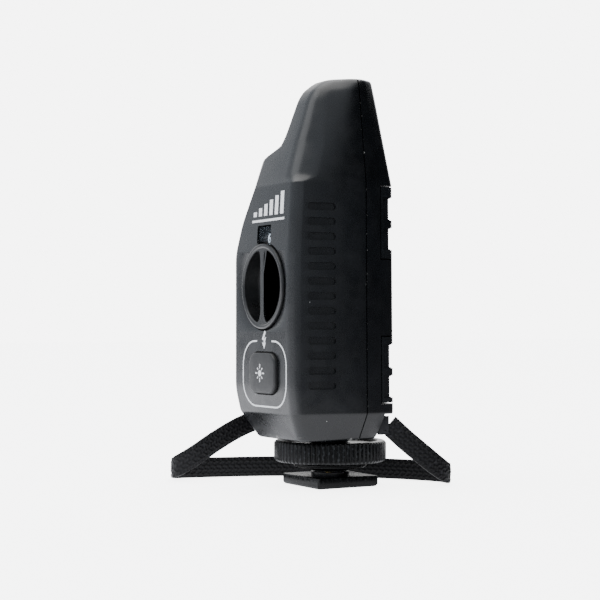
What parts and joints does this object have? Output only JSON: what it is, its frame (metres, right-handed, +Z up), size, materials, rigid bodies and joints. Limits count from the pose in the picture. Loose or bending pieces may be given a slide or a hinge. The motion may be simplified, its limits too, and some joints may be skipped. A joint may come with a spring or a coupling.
{
  "type": "wireless flash trigger",
  "caption": "Handheld radio flash trigger with stub antenna, channel dial, test button, battery door, wrist strap and a hot-shoe foot with a knurled locking ring.",
  "frame": {"origin": "centre of the shoe foot's underside, on the locking ring's axis", "axes": "+Z up along the stem, -Y towards the dial's face, +Y towards the battery door, +X towards the antenna's side"},
  "size_m": [0.051, 0.061, 0.1042],
  "materials": {
    "shell": "fine satin moulded black, slightly blue",
    "door": "satin moulded black",
    "control": "satin moulded black",
    "window": "clear polished",
    "disc": "matt black with printed numbers",
    "steel": "plated",
    "brass": "turned",
    "foot": "satin black",
    "ring": "satin black, worn on the ribs",
    "board": "solder mask",
    "component": "moulded black",
    "cell": "printed wrap over metal",
    "tray": "moulded dark grey",
    "lamp": "translucent",
    "strap": "flat braided nylon"
  },
  "bodies": {
    "housing": {"front_shell": "shell", "rear_shell": "shell", "channel_window": "window", "rotary_switch": "component", "test_switch": "component", "power_switch": "component", "status_led": "lamp", "sync_jack": "component", "usb_socket": "steel", "main_board": "board", "rf_shield": "steel", "antenna_element": "board", "battery_tray": "tray", "battery_1": "cell", "battery_2": "cell", "battery_spring_1": "steel", "battery_spring_2": "steel", "contact_plate_1": "steel", "contact_plate_2": "steel", "series_plate": "steel", "shoe_foot": "foot", "foot_stem": "steel", "stem_nut": "steel", "contact_spring": "steel", "lanyard_bar_1": "steel", "lanyard_bar_2": "steel", "lanyard_strap": "strap", "shell_screw_1": "steel", "board_screw_1": "steel", "shell_screw_2": "steel", "board_screw_2": "steel"},
    "dial": {"channel_dial": "control", "channel_disc": "disc", "dial_shaft": "steel"},
    "button": {"test_button": "control"},
    "slider": {"power_slider": "control"},
    "door": {"battery_door": "door"},
    "washer": {"clamp_washer": "foot"},
    "ring": {"locking_ring": "ring"},
    "pin": {"contact_pin": "brass"}
  },
  "joints": [
    {"name": "dial_turn", "type": "hinge", "parent": "housing", "child": "dial", "pos_m": [0, -0.0175, 0.0514], "axis": [0, -1, 0], "continuous": true},
    {"name": "button_press", "type": "slide", "parent": "housing", "child": "button", "axis": [0, 1, 0], "range_m": [0, 0.0006], "stiffness_N_per_m": 1500},
    {"name": "power_slide", "type": "slide", "parent": "housing", "child": "slider", "axis": [0, 0, 1], "range_m": [0, 0.003]},
    {"name": "door_pull", "type": "slide", "parent": "housing", "child": "door", "axis": [0, 1, 0], "range_m": [0, 0.02]},
    {"name": "ring_travel", "type": "slide", "parent": "housing", "child": "washer", "axis": [0, 0, 1], "range_m": [-0.0015, 0.0005]},
    {"name": "ring_turn", "type": "hinge", "parent": "washer", "child": "ring", "pos_m": [0, 0, 0.009], "axis": [0, 0, 1], "range_deg": [-541, 181]},
    {"name": "pin_travel", "type": "slide", "parent": "housing", "child": "pin", "axis": [0, 0, -1], "range_m": [0, 0.0006], "stiffness_N_per_m": 100, "springref_m": 0.0008}
  ],
  "couplings": [
    {"joint": "ring_turn", "follows": "ring_travel", "rad_per_m": 6283.2}
  ]
}
